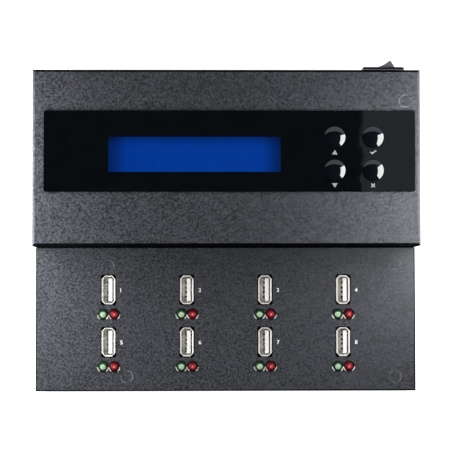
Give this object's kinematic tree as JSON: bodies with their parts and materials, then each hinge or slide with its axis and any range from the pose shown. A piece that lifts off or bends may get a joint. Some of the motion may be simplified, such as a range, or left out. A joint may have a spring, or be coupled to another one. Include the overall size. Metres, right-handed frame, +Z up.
{
  "type": "usb flash drive duplicator",
  "caption": "Two-level steel desktop box with upright USB-A ports and paired lamps on its low front, a character display and round push buttons on its raised back, and a rocker switch.",
  "frame": {"origin": "centre of the whole footprint, switch included, on the surface the feet stand on", "axes": "+Z up; +Y from the low front with the ports to the back wall with the switch; +X to the right as seen by the user"},
  "size_m": [0.185, 0.16, 0.0569],
  "materials": {
    "powder_coat": "fine textured powder coat",
    "pan_coat": "fine textured powder coat",
    "fascia_black": "polished",
    "clear_window": "clear, polished",
    "button_black": "polished",
    "lcd_frame_black": "satin",
    "lcd_blue": "lit blue",
    "light_guide": "milky",
    "board_green": "solder mask",
    "spring_steel": "bright",
    "nickel": "bright nickel plate",
    "white_plastic": "moulded",
    "gold_plate": "bright",
    "green_lens": "diffused lens",
    "red_lens": "diffused lens",
    "tinned_wire": "tinned",
    "black_plastic": "moulded",
    "chip_black": "moulded",
    "can_aluminium": "satin",
    "ribbon_grey": "ribbed cable",
    "wire_red": "insulation",
    "switch_grey": "moulded",
    "plunger_steel": "polished",
    "copper_alloy": "tinned",
    "zinc_screw": "black zinc",
    "brass": "turned",
    "board_screw_steel": "zinc plated",
    "foot_rubber": "matt"
  },
  "bodies": {
    "casing": {"base_pan": "pan_coat", "upper_cover": "powder_coat", "port_deck": "powder_coat", "rubber_feet": "foot_rubber", "cover_screws": "zinc_screw", "fascia_panel": "fascia_black", "display_window": "clear_window", "lcd_frame": "lcd_frame_black", "lcd_glass": "lcd_blue", "lcd_backlight": "light_guide", "lcd_board": "board_green", "key_guide": "black_plastic", "keypad_board": "board_green", "port_board": "board_green", "green_leds": "green_lens", "red_leds": "red_lens", "led_leads": "tinned_wire", "led_spacers": "black_plastic", "controller_board": "board_green", "controller_chips": "chip_black", "capacitors": "can_aluminium", "board_headers": "black_plastic", "display_cable": "ribbon_grey", "keypad_cable": "ribbon_grey", "link_cable": "ribbon_grey", "power_wires": "wire_red", "dc_jack": "black_plastic", "dc_jack_contacts": "spring_steel", "switch_body": "switch_grey", "switch_terminals": "copper_alloy", "standoffs": "brass", "board_screws": "board_screw_steel", "usb_contacts": "gold_plate", "snap_dome_up": "spring_steel", "snap_dome_down": "spring_steel", "snap_dome_ok": "spring_steel", "snap_dome_esc": "spring_steel", "usb_shell_1": "nickel", "usb_insert_1": "white_plastic", "usb_shell_2": "nickel", "usb_insert_2": "white_plastic", "usb_shell_3": "nickel", "usb_insert_3": "white_plastic", "usb_shell_4": "nickel", "usb_insert_4": "white_plastic", "usb_shell_5": "nickel", "usb_insert_5": "white_plastic", "usb_shell_6": "nickel", "usb_insert_6": "white_plastic", "usb_shell_7": "nickel", "usb_insert_7": "white_plastic", "usb_shell_8": "nickel", "usb_insert_8": "white_plastic"},
    "switch_rocker": {"switch_rocker": "switch_grey", "switch_plunger": "plunger_steel"},
    "switch_contact": {"switch_contact": "copper_alloy"},
    "button_up": {"button_up": "button_black"},
    "button_down": {"button_down": "button_black"},
    "button_ok": {"button_ok": "button_black"},
    "button_esc": {"button_esc": "button_black"}
  },
  "joints": [
    {"name": "button_up_press", "type": "slide", "parent": "casing", "child": "button_up", "axis": [0, 0, -1], "range_m": [0, 0.0005], "stiffness_N_per_m": 3000, "springref_m": -0.0001, "deforming": ["snap_dome_up"]},
    {"name": "button_down_press", "type": "slide", "parent": "casing", "child": "button_down", "axis": [0, 0, -1], "range_m": [0, 0.0005], "stiffness_N_per_m": 3000, "springref_m": -0.0001, "deforming": ["snap_dome_down"]},
    {"name": "button_ok_press", "type": "slide", "parent": "casing", "child": "button_ok", "axis": [0, 0, -1], "range_m": [0, 0.0005], "stiffness_N_per_m": 3000, "springref_m": -0.0001, "deforming": ["snap_dome_ok"]},
    {"name": "button_esc_press", "type": "slide", "parent": "casing", "child": "button_esc", "axis": [0, 0, -1], "range_m": [0, 0.0005], "stiffness_N_per_m": 3000, "springref_m": -0.0001, "deforming": ["snap_dome_esc"]},
    {"name": "rocker_tilt", "type": "hinge", "parent": "casing", "child": "switch_rocker", "pos_m": [0.0758, 0.07134, 0.0388], "axis": [0, 0, 1], "range_deg": [-36, 0]},
    {"name": "contact_tilt", "type": "hinge", "parent": "casing", "child": "switch_contact", "pos_m": [0.0758, 0.06394, 0.0388], "axis": [0, 0, 1], "range_deg": [0, 16]}
  ],
  "couplings": [
    {"joint": "contact_tilt", "follows": "rocker_tilt", "ratio": -0.4444}
  ]
}
